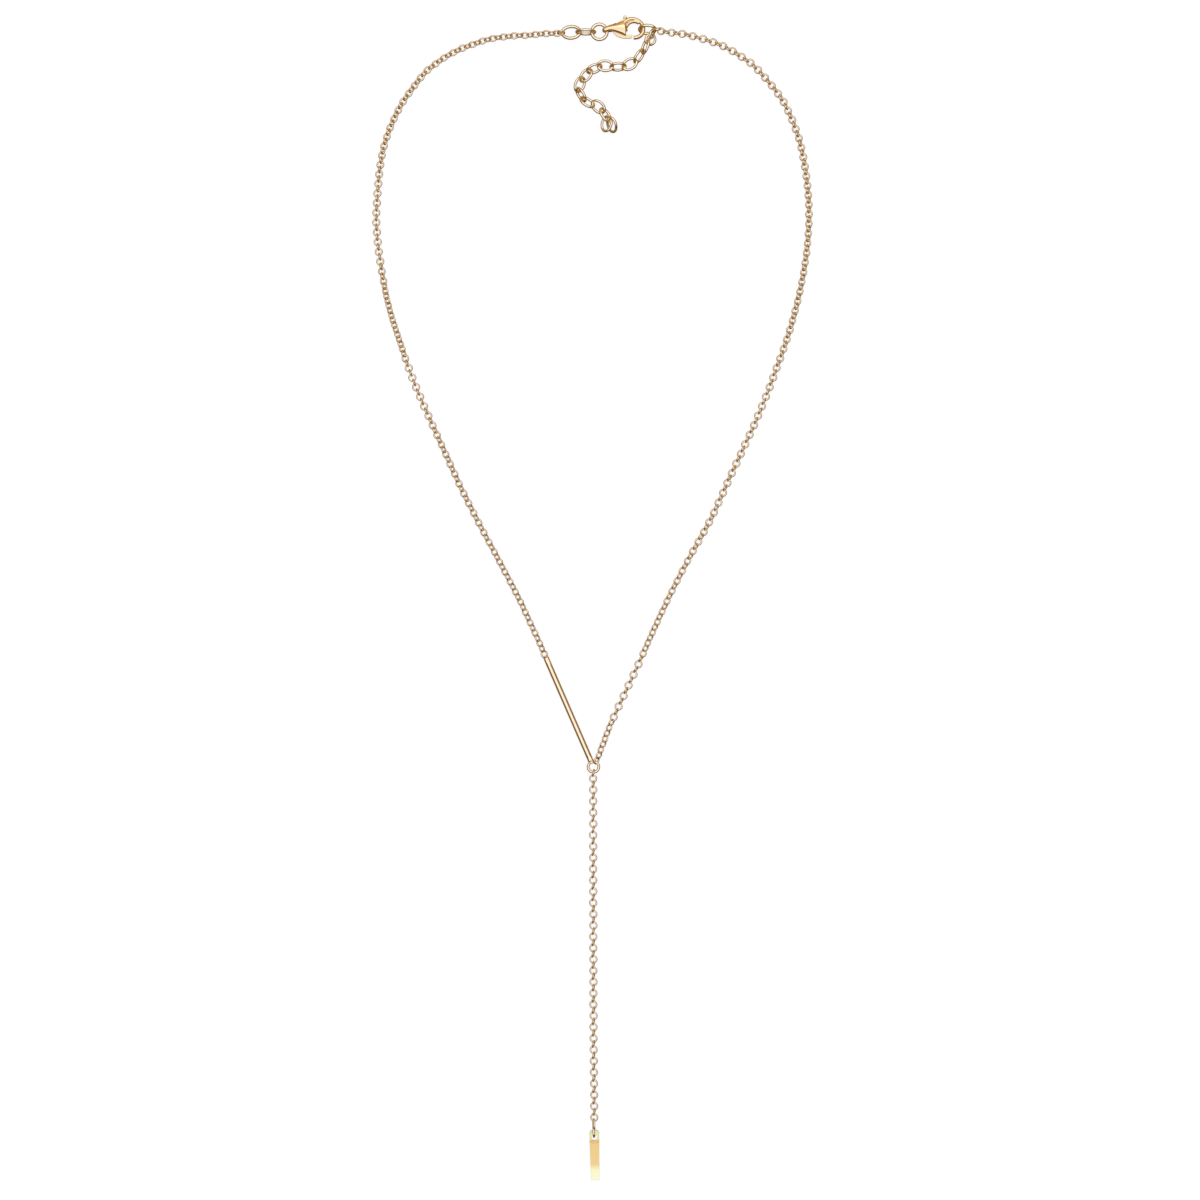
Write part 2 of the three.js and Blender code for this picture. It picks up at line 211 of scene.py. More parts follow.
def makeGold(name):
    values = goldValues[name]
    material, nodes, wire, shader, place = startMetal(name)
    cloud = addNoise(nodes, wire, place, goldValues["spotScale"], goldValues["spotDetail"])
    spread = nodes.new("ShaderNodeMapRange")
    low, high = goldValues["spotRange"]
    spread.inputs["From Min"].default_value = low
    spread.inputs["From Max"].default_value = high
    wire(cloud, spread.inputs["Value"])
    tint = nodes.new("ShaderNodeMix")
    tint.data_type = "RGBA"
    tint.inputs["A"].default_value = values["color"]
    tint.inputs["B"].default_value = values["deep"]
    wire(spread.outputs["Result"], tint.inputs["Factor"])
    wire(tint.outputs["Result"], shader.inputs["Base Color"])
    haze = nodes.new("ShaderNodeMapRange")
    low, high = values["roughness"]
    haze.inputs["To Min"].default_value = low
    haze.inputs["To Max"].default_value = high
    wire(cloud, haze.inputs["Value"])
    wire(haze.outputs["Result"], shader.inputs["Roughness"])
    grain = addNoise(nodes, wire, place, goldValues["grainScale"], goldValues["grainDetail"])
    addGrain(nodes, wire, shader, grain, goldValues["grainStrength"])
    return material


materials = {name: makeGold(name) for name in ("gold", "pale_gold", "satin_gold")}


def dress(piece, name, slot, body="necklace", material=None):
    piece.name = name + "_look"
    piece.data.name = piece.name
    piece.data.materials.clear()
    piece.data.materials.append(material or materials[slot])
    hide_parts(name)
    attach(piece, body)


# Links: outer length, outer width and wire
linkSizes = {
    "rolo": (2.03, 2.03, 0.46),
    "ring": (3.25, 3.25, 0.66),
    "jump": (4.5, 4.5, 0.80),
    "large": (5.1, 3.8, 0.76),
    "long": (5.1, 3.7, 0.72),
    "hooked": (4.6, 3.4, 0.78),
    "small": (2.8, 2.1, 0.54),
    "round": (3.1, 3.1, 0.60),
    "extension": (4.25, 3.2, 0.65),
    "dropUpper": (2.95, 1.8, 0.50),
    "dropLower": (2.7, 1.85, 0.53),
}
linkValues = {"around": 12, "across": 5, "seam": 0.12, "bead": 1.09}

# Node, size, middle, then heading, roll and pitch in degrees, measured from the clasp's hook
claspLinks = [
    ("left_start_link", "rolo", (-17.94, -1.15, 0.95), 0, 66, 0),
    ("right_start_link", "rolo", (5.35, -0.4, 1.75), 0, -72, 0),
    ("left_link_1", "large", (-15.5, -1.1, 1.15), 0, -14, -8),
    ("left_link_2", "long", (-11.95, -1.1, 1.74), 0, 79, 0),
    ("jump_ring", "jump", (-8.65, -1.0, 1.25), 0, 0, 3),
    ("hooked_link", "hooked", (2.95, -0.45, 1.5), 180, -50, 8),
    ("extension_link_01", "small", (4.08, -1.45, 0.9), 250, -60, 0),
    ("extension_link_02", "round", (3.7, -2.8, 0.95), 250, -25, 0),
    ("extension_link_03", "extension", (2.5, -4.5, 1.38), 251, 62, 0),
    ("extension_link_04", "extension", (0.95, -6.9, 1.4), 236, -60, 0),
    ("extension_link_05", "extension", (-1.3, -8.8, 1.1), 210, 15, 0),
    ("extension_link_06", "extension", (-4.15, -9.45, 1.35), 183, -57, 0),
    ("extension_link_07", "extension", (-7.22, -9.2, 1.2), 177, 12, 0),
    ("extension_link_08", "extension", (-9.9, -9.9, 1.3), 202, -52, 0),
    ("extension_link_09", "extension", (-11.9, -11.5, 1.1), 232, 32, 0),
    ("extension_link_10", "extension", (-13.4, -13.7, 1.1), 248, -36, 0),
    ("extension_link_11", "extension", (-13.1, -16.2, 1.4), 303, 63, 0),
    ("extension_link_12", "extension", (-11.6, -18.0, 1.2), 327, -45, 0),
    ("extension_link_13", "extension", (-8.9, -19.1, 1.1), 318, 32, 0),
    ("extension_link_14", "extension", (-7.2, -21.1, 1.2), 303, -48, 0),
    ("extension_link_15", "extension", (-6.9, -23.2, 1.1), 260, 28, 0),
    ("extension_link_16", "extension", (-5.65, -23.5, 1.37), 100, -40, -25),
]

# The same for the bar's upper end and for the ring of the Y
barLinks = [("left_end_link", "rolo", (-0.18, 0.34, 0.8), -66.5, -32, 0)]
ringLinks = [
    ("y_ring", "ring", (0, 0, 0.97), 113.5, 0, 8.6),
    ("right_end_link", "rolo", (0.73, 1.53, 0.9), 66, 56, 0),
    ("drop_ring_a", "dropUpper", (0.08, -86.5, 1.0), -90, 81, 0),
    ("drop_ring_b", "dropLower", (0.14, -88.42, 0.95), -90, 98, 0),
]


# An oval link with the small bead of its solder seam
def makeLink(sizeName):
    length, width, wire = linkSizes[sizeName]
    clearSelection()
    bpy.ops.curve.primitive_bezier_circle_add(radius=1)
    link = bpy.context.object
    link.scale = ((length - wire) / 2, (width - wire) / 2, 1)
    bpy.ops.object.transform_apply(location=True, rotation=True, scale=True)
    bpy.ops.object.mode_set(mode="EDIT")
    bpy.ops.curve.select_all(action="SELECT")
    bpy.ops.curve.radius_set(radius=1)
    finishEdit()
    link.data.resolution_u = linkValues["around"]
    link.data.bevel_depth = wire / 2
    link.data.bevel_resolution = linkValues["across"]
    bpy.ops.object.convert(target="MESH")
    link = bpy.context.object
    pick(link, lambda point: point.y > 0 and abs(point.x) < linkValues["seam"])
    bead = linkValues["bead"]
    bpy.ops.transform.resize(value=(1, bead, bead), center_override=(0, (width - wire) / 2, 0))
    finishEdit()
    bpy.ops.object.shade_smooth()
    return link


def buildLinks(rows, start):
    for name, sizeName, (x, y, z), heading, roll, pitch in rows:
        link = makeLink(sizeName)
        turn = turned(heading, pitch, roll)
        rest = -min((turn @ point.co).z for point in link.data.vertices)
        settle(link, (start[0] + x, start[1] + y, max(z, rest)), turn)
        dress(link, name, "gold" if sizeName in ("rolo", "ring") else "pale_gold")
    print("links from", rows[0][0], len(rows))


# Distance from the clasp along a neck chain, and from link to link there
upperPitch = [
    (0, 1.305), (17, 1.295), (27, 1.270), (36, 1.210), (46, 1.180), (60, 1.155), (75, 1.190), (95, 1.215),
]

# Chains: facets of a link, its unevenness, and how far apart the links lie
chainValues = {
    "around": 12,
    "across": 5,
    "inside": 1.03,
    "insideDepth": 0.2,
    "slant": {"chain_left": 0, "chain_right": -7, "drop_chain": -12},
    "sway": 3.0,
    "drift": 0.03,
    "pitch": {
        "chain_left": upperPitch + [(115, 1.250), (133, 1.295), (152, 1.340), (172, 1.380), (210, 1.400)],
        "chain_right": upperPitch + [
            (115, 1.260), (133, 1.308), (152, 1.353), (172, 1.400), (190, 1.420), (215, 1.420),
        ],
        "drop_chain": [(0, 1.373), (100, 1.373)],
    },
}

# Routes seen from above, from the clasp down to the Y, and from the Y down to the tag
chainRoutes = {
    "chain_left": [
        (-8.7, 136.3), (-11.6, 136.2), (-15.2, 135.9), (-20.1, 135.6), (-24.9, 134.9), (-29.5, 133.5),
        (-33.9, 131.6), (-38.0, 129.0), (-41.6, 125.7), (-47.1, 117.8), (-50.6, 108.8), (-52.0, 99.2),
        (-52.4, 89.6), (-51.3, 80.0), (-49.5, 70.5), (-46.6, 61.2), (-43.4, 52.1), (-39.6, 43.2),
        (-35.6, 34.4), (-31.6, 25.6), (-27.2, 17.0), (-22.6, 8.4), (-18.1, -0.2), (-14.0, -8.9),
        (-12.35, -12.6),
    ],
    "chain_right": [
        (16.45, 136.8), (18.6, 136.5), (22.5, 136.0), (27.1, 134.8), (31.7, 133.1), (35.8, 130.7),
        (39.7, 127.7), (45.8, 120.2), (49.7, 111.3), (51.6, 101.9), (52.3, 92.2), (51.6, 82.6),
        (49.9, 73.1), (47.4, 63.7), (44.2, 54.6), (40.7, 45.5), (36.8, 36.7), (32.7, 27.9),
        (28.7, 19.1), (24.0, 10.6), (19.5, 2.1), (15.3, -6.7), (11.4, -15.5), (7.3, -24.3),
        (4.4, -30.6), (1.4, -38.4),
    ],
    "drop_chain": [(0.06, -42.7), (0.06, -73.4), (0.14, -104.9), (0.33, -126.08)],
}

# Height on the page, from the clasp down, and the roll of the chain's flatter links there
chainTwists = {
    "chain_left": [
        (140, 22), (108, 22), (101, 5), (81, 5), (72, 45), (61, 45), (55, 0), (48, 5), (38, 27),
        (18, 28), (4, 36), (-15, 36),
    ],
    "chain_right": [
        (140, 22), (100, 22), (86, 30), (67, 30), (50, 10), (28, 15), (5, 30), (-7, 40), (-13, 40), (-15, 12),
        (-29, 12), (-31, 45), (-40, 45),
    ],
    "drop_chain": [(-40, 5), (-130, 11)],
}
standingFirst = {"chain_left": False, "chain_right": False, "drop_chain": True}


def between(table, value):
    for (start, low), (end, high) in zip(table, table[1:]):
        if min(start, end) <= value <= max(start, end):
            return low + (high - low) * (value - start) / (end - start)
    return table[-1][1]


# Points close together on a smooth curve through the route, with their distance along it
def walkRoute(points, step=0.1):
    points = [Vector((x, y, 0)) for x, y in points]
    ends = [2 * points[0] - points[1]] + points + [2 * points[-1] - points[-2]]
    walk = [(0.0, points[0])]
    for a, b, c, d in zip(ends, ends[1:], ends[2:], ends[3:]):
        count = max(2, round((c - b).length / step))
        for i in range(1, count + 1):
            t = i / count
            bend = (2 * a - 5 * b + 4 * c - d) * t * t + (3 * b - a - 3 * c + d) * t * t * t
            place = 0.5 * (2 * b + (c - a) * t + bend)
            walk.append((walk[-1][0] + (place - walk[-1][1]).length, place))
    return walk


# Middle and direction of each link, spaced by the pitch table and stretched to fill the route
def linkPlaces(name):
    table = chainValues["pitch"][name]
    walk = walkRoute(chainRoutes[name])
    total = walk[-1][0]
    marks = [0.0]
    while marks[-1] < total:
        marks.append(marks[-1] + between(table, marks[-1]))
    if name == "drop_chain":
        marks = marks[:2 * round(len(marks) / 2)]
    fit = total / marks[-1]
    places = []
    index = 0
    for mark in marks:
        goal = min(mark * fit, total)
        while index < len(walk) - 2 and walk[index + 1][0] < goal:
            index += 1
        here, ahead = walk[index], walk[index + 1]
        share = (goal - here[0]) / (ahead[0] - here[0])
        places.append((here[1].lerp(ahead[1], share), (ahead[1] - here[1]).normalized()))
    return places


# A round chain link of few faces, its wire a little flattened on the inside
def makeRolo():
    size, _, wire = linkSizes["rolo"]
    radius = (size - wire) / 2
    clearSelection()
    bpy.ops.mesh.primitive_torus_add(
        major_segments=chainValues["around"], minor_segments=chainValues["across"],
        major_radius=radius, minor_radius=wire / 2)
    link = bpy.context.object
    pick(link, lambda point: point.xy.length < radius - chainValues["insideDepth"] * wire)
    inside = chainValues["inside"]
    bpy.ops.transform.resize(value=(inside, inside, 1), center_override=(0, 0, 0))
    finishEdit()
    bpy.ops.object.shade_smooth()
    return link


# The links of a chain, copied from one and joined into one piece
def buildChain(name):
    wire = linkSizes["rolo"][2]
    radius = (linkSizes["rolo"][0] - wire) / 2
    model = makeRolo()
    copies = []
    for i, (middle, way) in enumerate(linkPlaces(name)):
        flat = between(chainTwists[name], middle.y)
        standing = (i % 2 == 0) == standingFirst[name]
        roll = flat + (90 if standing else 0) + dice.uniform(-1, 1) * chainValues["sway"]
        heading = math.degrees(math.atan2(way.y, way.x)) + dice.uniform(-1, 1) * chainValues["sway"]
        if standing:
            heading += chainValues["slant"][name]
        lean = max(abs(math.sin(math.radians(flat))), abs(math.cos(math.radians(flat))))
        side = Vector((-way.y, way.x, 0)) * dice.uniform(-1, 1) * chainValues["drift"]
        copy = model.copy()
        copy.data = model.data.copy()
        bpy.context.collection.objects.link(copy)
        place = Matrix.Translation(middle + side + Vector((0, 0, radius * lean + wire / 2)))
        copy.matrix_world = place @ turned(heading, 0, roll)
        copies.append(copy)
    bpy.data.objects.remove(model, do_unlink=True)
    clearSelection()
    for copy in copies:
        copy.select_set(True)
    chain = copies[0]
    bpy.context.view_layer.objects.active = chain
    bpy.ops.object.join()
    bpy.ops.object.transform_apply(location=True, rotation=True, scale=True)
    settle(chain, (0, 0, 0), turned())
    dress(chain, name, "gold")
    print(name, len(copies), "links")


barValues = {
    "length": 28.6, "diameter": 1.38, "sides": 40, "taper": 1.3, "taperSteps": 5,
    "eyeWidth": 1.36, "eyeThickness": 1.0, "eyeHole": 0.72, "eyeInset": 0.62, "eyeRoll": 4,
    "tipSteps": (18, 36, 54, 70, 82), "tipThinning": 0.98,
    "holeSides": 32, "drillDepth": 3, "edge": 0.08, "edgeSteps": 2, "sharpAngle": 40,
}


def buildBar():
    values = barValues
    half = values["length"] / 2
    shaftEnd = half - values["eyeWidth"] - values["taper"]
    clearSelection()
    bpy.ops.mesh.primitive_cylinder_add(
        vertices=values["sides"], radius=values["diameter"] / 2, depth=2 * shaftEnd,
        rotation=(0, math.pi / 2, 0))
    bar = bpy.context.object
    bpy.ops.object.transform_apply(location=True, rotation=True, scale=True)
    for side in (-1, 1):
        pick(bar, lambda point: point.x * side > shaftEnd - close)
        stations = []
        for step in range(1, values["taperSteps"] + 1):
            share = step / values["taperSteps"]
            ease = share * share * (3 - 2 * share)
            width = values["diameter"] + (values["eyeWidth"] - values["diameter"]) * ease
            depth = values["diameter"] + (values["eyeThickness"] - values["diameter"]) * ease
            stations.append((shaftEnd + values["taper"] * share, width, depth))
        centre = half - values["eyeWidth"] / 2
        stations.append((centre, values["eyeWidth"], values["eyeThickness"]))
        for angle in values["tipSteps"]:
            reach = values["eyeWidth"] / 2 * math.sin(math.radians(angle))
            width = values["eyeWidth"] * math.cos(math.radians(angle))
            stations.append((centre + reach, width, values["eyeThickness"] * values["tipThinning"]))
        here, lastWidth, lastDepth = shaftEnd, values["diameter"], values["diameter"]
        for x, width, depth in stations:
            bpy.ops.mesh.extrude_region_move(TRANSFORM_OT_translate={"value": (side * (x - here), 0, 0)})
            grow = (1, width / lastWidth, depth / lastDepth)
            bpy.ops.transform.resize(value=grow, center_override=(side * x, 0, 0))
            here, lastWidth, lastDepth = x, width, depth
        finishEdit()
    for side in (-1, 1):
        place = (side * (half - values["eyeInset"]), 0, 0)
        drill(bar, values["eyeHole"], values["holeSides"], values["drillDepth"], place)
    softenEdges(bar, values["edge"], values["edgeSteps"], values["sharpAngle"])
    angle = math.radians(barPlace["angle"])
    x = barPlace["top"][0] + half * math.cos(angle)
    y = barPlace["top"][1] + half * math.sin(angle)
    settle(bar, (x, y, barPlace["height"]), turned(barPlace["angle"], 0, values["eyeRoll"]))
    dress(bar, "bar", "gold")
    print("bar")


tagValues = {
    "top": (0.18, -87.91, 0.5), "length": 12.15, "width": 2.4, "foot": 2.0, "thickness": 0.6,
    "corner": 0.86, "cornerSteps": 8, "hole": 1.45, "holeInset": 1.8, "holeSides": 48, "drillDepth": 3,
    "collar": 2.76, "collarDepth": 0.1, "edge": 0.16, "edgeSteps": 3, "sharpAngle": 35,
    "tilt": 2.3, "turn": 1.2,
    "roughness": 0.13,
    "streaks": (5000, 260, 400),
    "streakDetail": 2.0,
    "streakShades": (0.95, 1.04),
    "streakStrength": 0.2,
    # Tag gold along its length, with painted highlights at the eye and the foot and a painted shade line at
    # the collar's lower edge
    "goldWithPaintedLight": [  # share of the length from the top, and colour there
        (0.00, (0.80, 0.70, 0.31, 1)), (0.18, (0.80, 0.70, 0.31, 1)), (0.215, (0.79, 0.45, 0.12, 1)),
        (0.27, (0.83, 0.55, 0.18, 1)), (0.68, (0.84, 0.57, 0.20, 1)), (0.80, (0.92, 0.83, 0.40, 1)),
        (1.00, (0.93, 0.86, 0.46, 1)),
    ],
}


# Painted highlights: paler gold at the eye and towards the foot, with a painted shade line at the lower edge
# of the eye's collar, and faint streaks from polishing
def makeTagGold():
    material, nodes, wire, shader, place = startMetal("tag_gold")
    shader.inputs["Roughness"].default_value = tagValues["roughness"]
    split = nodes.new("ShaderNodeSeparateXYZ")
    wire(place, split.inputs["Vector"])
    top = (ringPlace[1] + tagValues["top"][1] + shift.y) * millimetre
    along = nodes.new("ShaderNodeMapRange")
    along.inputs["From Min"].default_value = top
    along.inputs["From Max"].default_value = top - tagValues["length"] * millimetre
    wire(split.outputs["Y"], along.inputs["Value"])
    # Ramp down the tag: painted highlights at the eye and the foot, painted shade at the collar's lower edge
    goldWithPaintedLight = nodes.new("ShaderNodeValToRGB")
    fillRamp(goldWithPaintedLight, tagValues["goldWithPaintedLight"])
    wire(along.outputs["Result"], goldWithPaintedLight.inputs["Fac"])
    stretch = nodes.new("ShaderNodeMapping")
    stretch.inputs["Scale"].default_value = tagValues["streaks"]
    wire(place, stretch.inputs["Vector"])
    streaks = addNoise(nodes, wire, stretch.outputs["Vector"], 1.0, tagValues["streakDetail"])
    shade = nodes.new("ShaderNodeMapRange")
    low, high = tagValues["streakShades"]
    shade.inputs["To Min"].default_value = low
    shade.inputs["To Max"].default_value = high
    wire(streaks, shade.inputs["Value"])
    tint = nodes.new("ShaderNodeVectorMath")
    tint.operation = "SCALE"
    wire(goldWithPaintedLight.outputs["Color"], tint.inputs[0])
    wire(shade.outputs["Result"], tint.inputs["Scale"])
    wire(tint.outputs["Vector"], shader.inputs["Base Color"])
    addGrain(nodes, wire, shader, streaks, tagValues["streakStrength"])
    return material


def buildTag():
    values = tagValues
    thickness = values["thickness"]
    clearSelection()
    bpy.ops.mesh.primitive_cube_add(size=1, location=(0, -values["length"] / 2, thickness / 2))
    tag = bpy.context.object
    tag.scale = (values["width"], values["length"], thickness)
    bpy.ops.object.transform_apply(location=True, rotation=True, scale=True)
    middle = -values["length"] / 2
    pick(tag, lambda point: point.y < middle)
    bpy.ops.transform.resize(
        value=(values["foot"] / values["width"], 1, 1), center_override=(0, -values["length"], thickness / 2))
    finishEdit()
    pickEdges(tag, lambda one, other: min(one.y, other.y) > middle and abs(one.x - other.x) < close)
    bpy.ops.mesh.bevel(offset=values["corner"], segments=values["cornerSteps"])
    finishEdit()
    sides, depth = values["holeSides"], values["drillDepth"]
    collarHeight = thickness + depth / 2 - values["collarDepth"]
    drill(tag, values["collar"], sides, depth, (0, -values["holeInset"], collarHeight))
    drill(tag, values["hole"], sides, depth, (0, -values["holeInset"], 0))
    softenEdges(tag, values["edge"], values["edgeSteps"], values["sharpAngle"])
    x, y, z = values["top"]
    settle(tag, (ringPlace[0] + x, ringPlace[1] + y, z), turned(values["turn"], 0, values["tilt"]))
    dress(tag, "tag", "satin_gold", material=makeTagGold())
    print("tag")


# Clasp, measured from the middle of its hook; sections run from the tail to the hook
claspValues = {
    "height": 1.15,
    "sections": [  # x, middle in y, half height and half thickness
        (-7.95, -0.60, 0.24, 0.40), (-7.77, -0.59, 0.52, 0.66), (-7.35, -0.52, 0.76, 0.85),
        (-6.8, -0.36, 0.82, 0.92), (-6.2, -0.19, 0.82, 0.95), (-5.4, -0.10, 0.98, 1.00),
        (-4.8, -0.05, 1.20, 1.03), (-4.3, 0.00, 1.44, 1.07), (-3.3, 0.15, 1.92, 1.12),
        (-2.75, 0.20, 2.20, 1.12), (-2.4, 0.22, 2.36, 1.05), (-2.2, 0.22, 2.36, 0.85),
    ],
    "sectionSides": 48,
    "roll": 12,
    "hookMiddle": (-0.45, -0.13),
    "arcs": [  # the hook's band and the rim inside it: width, height, corner, half axes, first and last angle
        (1.00, 1.50, 0.47, (2.62, 2.06), 152, -91),
        (0.84, 1.36, 0.40, (1.93, 1.47), 205, 44),
    ],
    "arcSteps": 60,
    "arcCornerSteps": 6,
    "bore": {"x": -6.86, "diameter": 1.1, "sides": 32, "depth": 8},
    "slots": [(-4.65, -8, -1.9, 8), (-5.65, -8, -1.9, -0.05)],
    "slotWidth": 1.0,
    "grain": 0.06,
    "firstRounds": 2,
    "lastRounds": 6,
    "leverGrain": 0.05,
    "leverRounds": 2,
    "merge": 0.001,
    "knob": {"above": 2.35, "drop": -0.2},
    "shoulder": {"foot": (-2.37, 2.0), "tall": 0.8, "wide": (1.1, 0.76), "flat": 0.75, "sides": 24},
}


# Bevelled band bent round an ellipse in the XY plane
def makeArc(wide, tall, corner, axes, first, last):
    clearSelection()
    bpy.ops.mesh.primitive_plane_add(size=1, location=(axes[0], 0, 0), rotation=(math.pi / 2, 0, 0))
    arc = bpy.context.object
    arc.scale = (wide, tall, 1)
    bpy.ops.object.transform_apply(location=True, rotation=True, scale=True)
    pick(arc, lambda point: True)
    bpy.ops.mesh.bevel(offset=corner, segments=claspValues["arcCornerSteps"], affect="VERTICES")
    bpy.ops.mesh.select_all(action="SELECT")
    bpy.ops.mesh.spin(
        steps=claspValues["arcSteps"], angle=math.radians(first - last), center=(0, 0, 0), axis=(0, 0, 1))
    bpy.ops.mesh.select_all(action="SELECT")
    bpy.ops.mesh.normals_make_consistent(inside=False)
    finishEdit()
    middle = claspValues["hookMiddle"]
    place = Matrix.Translation((*middle, 0)) @ Matrix.Diagonal((1, axes[1] / axes[0], 1, 1))
    arc.matrix_world = place @ turned(first)
    bpy.ops.object.transform_apply(location=True, rotation=True, scale=True)
    return arc


def buildClaspBody():
    values = claspValues
    clearSelection()
    x, y, tall, thick = values["sections"][0]
    bpy.ops.mesh.primitive_circle_add(
        vertices=values["sectionSides"], radius=1, fill_type="NGON", location=(x, y, 0),
        rotation=(0, math.pi / 2, 0))
    body = bpy.context.object
    bpy.ops.object.transform_apply(location=True, rotation=True, scale=True)
    pick(body, lambda point: True)
    bpy.ops.transform.resize(value=(1, tall, thick), center_override=(x, y, 0))
    for nextX, nextY, nextTall, nextThick in values["sections"][1:]:
        bpy.ops.mesh.extrude_region_move(TRANSFORM_OT_translate={"value": (nextX - x, nextY - y, 0)})
        grow = (1, nextTall / tall, nextThick / thick)
        bpy.ops.transform.resize(value=grow, center_override=(nextX, nextY, 0))
        x, y, tall, thick = nextX, nextY, nextTall, nextThick
    bpy.ops.mesh.select_all(action="SELECT")
    bpy.ops.mesh.fill_holes(sides=0)
    bpy.ops.mesh.normals_make_consistent(inside=False)
    bpy.ops.transform.rotate(value=math.radians(values["roll"]), orient_axis="X", center_override=(0, 0, 0))
    finishEdit()
    for arc in values["arcs"]:
        weld(body, makeArc(*arc))
    cast(body, values["grain"], values["firstRounds"])
    for x0, y0, x1, y1 in values["slots"]:
        clearSelection()
        bpy.ops.mesh.primitive_cube_add(size=1, location=((x0 + x1) / 2, (y0 + y1) / 2, 0))
        block = bpy.context.object
        block.scale = (x1 - x0, y1 - y0, values["slotWidth"])
        bpy.ops.object.transform_apply(location=True, rotation=True, scale=True)
        cut(body, block)
    bore = values["bore"]
    drill(body, bore["diameter"], bore["sides"], bore["depth"], (bore["x"], 0, 0), (math.pi / 2, 0, 0))
    cast(body, values["grain"], values["lastRounds"])
    settle(body, (claspPlace[0], claspPlace[1], values["height"]), turned())
    dress(body, "clasp_body", "satin_gold")
    print("clasp body", len(body.data.polygons))


# The lever is cast over a copy of its solid
def buildClaspLever():
    values = claspValues
    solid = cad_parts["clasp_lever"]
    lever = solid.copy()
    lever.data = solid.data.copy()
    lever.parent = None
    bpy.context.collection.objects.link(lever)
    lever.hide_render = False
    lever.matrix_world = Matrix.Scale(1 / millimetre, 4) @ Matrix.Translation(-shift * millimetre)
    choose(lever)
    bpy.ops.object.transform_apply(location=True, rotation=True, scale=True)
    pick(lever, lambda point: True)
    bpy.ops.mesh.remove_doubles(threshold=values["merge"])
    bpy.ops.mesh.normals_make_consistent(inside=False)
    finishEdit()
    knob = values["knob"]
    pick(lever, lambda point: point.y > claspPlace[1] + knob["above"])
    bpy.ops.transform.translate(value=(0, knob["drop"], 0))
    finishEdit()
    shape = values["shoulder"]
    x = claspPlace[0] + shape["foot"][0]
    y = claspPlace[1] + shape["foot"][1] + shape["tall"] / 2
    clearSelection()
    bpy.ops.mesh.primitive_cone_add(
        vertices=shape["sides"], radius1=shape["wide"][0] / 2, radius2=shape["wide"][1] / 2,
        depth=shape["tall"], location=(x, y, values["height"]), rotation=(-math.pi / 2, 0, 0))
    shoulder = bpy.context.object
    shoulder.scale = (1, shape["flat"], 1)
    bpy.ops.object.transform_apply(location=True, rotation=True, scale=True)
    weld(lever, shoulder)
    cast(lever, values["leverGrain"], values["leverRounds"])
    settle(lever, (0, 0, 0), turned())
    dress(lever, "clasp_lever", "satin_gold", body="lever")
    print("clasp lever", len(lever.data.polygons))


# In metres, a hair below the necklace
floorValues = {
    "size": 6.0, "height": -0.00002, "color": (0.20, 0.20, 0.20, 1), "roughness": 0.9, "glow": 0.88,
}


def makeFloor():
    clearSelection()
    bpy.ops.mesh.primitive_plane_add(size=floorValues["size"], location=(0, 0, floorValues["height"]))
    floor = bpy.context.object
    floor.name = "floor"
    material = bpy.data.materials.new("floor")
    material.use_nodes = True
    shader = material.node_tree.nodes["Principled BSDF"]
    shader.inputs["Base Color"].default_value = floorValues["color"]
    shader.inputs["Roughness"].default_value = floorValues["roughness"]
    shader.inputs["Emission Color"].default_value = (1, 1, 1, 1)
    shader.inputs["Emission Strength"].default_value = floorValues["glow"]
    floor.data.materials.append(material)
    floor.visible_glossy = False


# Light tent: white overhead, with darker sides that are lightest in the north and nearly black in the south
tentValues = {
    "strength": 1.0,
    "white": (1.16, 1.26, 1.68, 1),
    "opening": (1.04, 1.12, 1.44, 1),
    "sides": {  # height from straight below to straight above, and colour there
        "south": [
            (0.00, (0.12, 0.07, 0.025, 1)), (0.40, (0.05, 0.03, 0.011, 1)), (0.54, (0.30, 0.19, 0.068, 1)),
            (0.68, (0.30, 0.19, 0.068, 1)), (0.74, (0.03, 0.018, 0.007, 1)), (0.84, (0.03, 0.018, 0.007, 1)),
        ],
        "middle": [
            (0.00, (0.27, 0.165, 0.052, 1)), (0.50, (0.22, 0.130, 0.040, 1)), (0.85, (0.28, 0.175, 0.058, 1)),
        ],
        "north": [
            (0.00, (0.31, 0.196, 0.067, 1)), (0.56, (0.40, 0.27, 0.12, 1)), (0.85, (0.82, 0.62, 0.38, 1)),
        ],
    },
    "rim": 0.895,
    "openingLimits": (0.965, 0.985),
    "southLimits": (-0.36, -0.50),
    "northLimits": (0.26, 0.50),
}


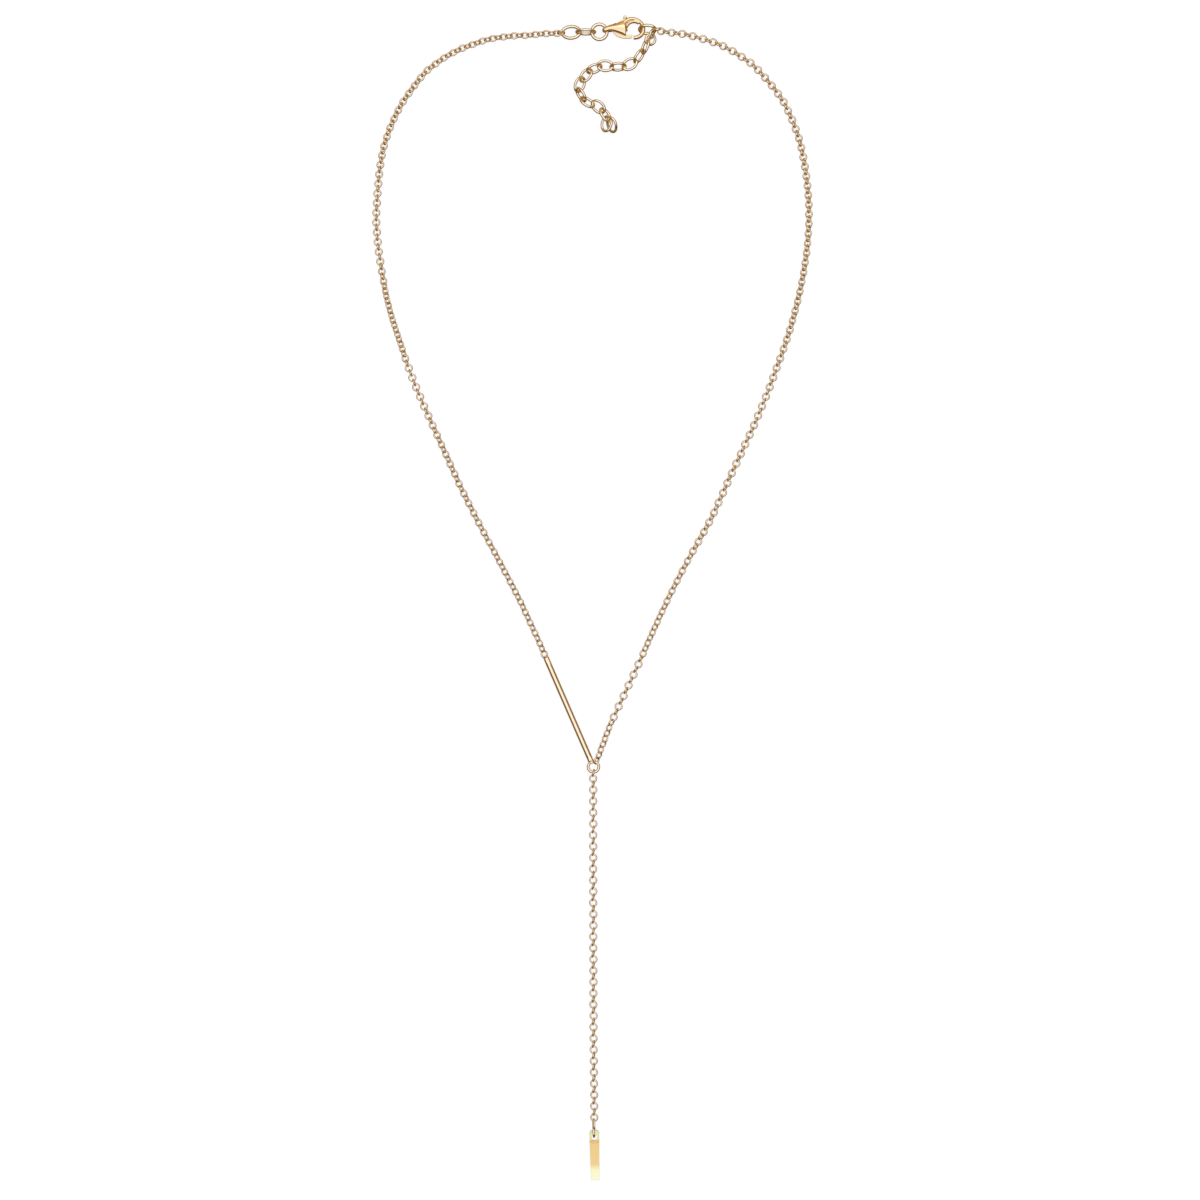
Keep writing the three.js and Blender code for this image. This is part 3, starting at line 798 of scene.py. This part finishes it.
def makeTent():
    values = tentValues
    world = bpy.data.worlds.new("tent")
    world.use_nodes = True
    bpy.context.scene.world = world
    nodes = world.node_tree.nodes
    wire = world.node_tree.links.new
    place = nodes.new("ShaderNodeTexCoord")
    split = nodes.new("ShaderNodeSeparateXYZ")
    wire(place.outputs["Generated"], split.inputs["Vector"])
    rise = nodes.new("ShaderNodeMapRange")
    rise.inputs["From Min"].default_value = -1.0
    wire(split.outputs["Z"], rise.inputs["Value"])
    whiteEnd, openingStart = values["openingLimits"]
    overhead = [
        (values["rim"], values["white"]), (whiteEnd, values["white"]), (openingStart, values["opening"]),
    ]
    ramps = {}
    for side, rows in values["sides"].items():
        ramps[side] = nodes.new("ShaderNodeValToRGB")
        fillRamp(ramps[side], rows + overhead)
        wire(rise.outputs["Result"], ramps[side].inputs["Fac"])
    color = ramps["middle"].outputs["Color"]
    for side in ("south", "north"):
        share = nodes.new("ShaderNodeMapRange")
        share.interpolation_type = "SMOOTHSTEP"
        low, high = values[side + "Limits"]
        share.inputs["From Min"].default_value = low
        share.inputs["From Max"].default_value = high
        wire(split.outputs["Y"], share.inputs["Value"])
        blend = nodes.new("ShaderNodeMix")
        blend.data_type = "RGBA"
        wire(share.outputs["Result"], blend.inputs["Factor"])
        wire(color, blend.inputs["A"])
        wire(ramps[side].outputs["Color"], blend.inputs["B"])
        color = blend.outputs["Result"]
    back = nodes["Background"]
    back.inputs["Strength"].default_value = values["strength"]
    wire(color, back.inputs["Color"])


# Soft lamp above the clasp end, in metres
panelValues = {"size": (0.45, 0.14), "place": (0.02, 0.56, 0.78), "radiance": 1.0}


def makePanel():
    wide, deep = panelValues["size"]
    lamp = bpy.data.lights.new("panel", "AREA")
    lamp.shape = "RECTANGLE"
    lamp.size = wide
    lamp.size_y = deep
    lamp.energy = panelValues["radiance"] * math.pi * wide * deep
    panel = bpy.data.objects.new("panel", lamp)
    panel.location = panelValues["place"]
    panel.rotation_euler = (-Vector(panel.location)).to_track_quat("-Z", "Y").to_euler()
    bpy.context.collection.objects.link(panel)


# Camera straight above, in millimetres: the picture is as wide as this at the height of the plane
cameraValues = {
    "middle": (1.694, -0.847), "height": 900, "plane": 1.0, "width": 290.4, "sensor": 36, "near": 0.01,
}


def makeCamera():
    values = cameraValues
    eye = bpy.data.cameras.new("camera")
    eye.sensor_width = values["sensor"]
    eye.lens = values["sensor"] * (values["height"] - values["plane"]) / values["width"]
    eye.clip_start = values["near"]
    thing = bpy.data.objects.new("camera", eye)
    middle = Vector((values["middle"][0], values["middle"][1], values["height"])) + shift
    thing.location = middle * millimetre
    bpy.context.collection.objects.link(thing)
    bpy.context.scene.camera = thing


bpy.context.scene.view_settings.view_transform = "Standard"
makeCamera()
makeFloor()
makeTent()
makePanel()
buildLinks(claspLinks, claspPlace)
buildLinks(barLinks, barPlace["top"])
buildLinks(ringLinks, ringPlace)
buildBar()
buildTag()
buildClaspBody()
buildClaspLever()
for chain in chainRoutes:
    buildChain(chain)
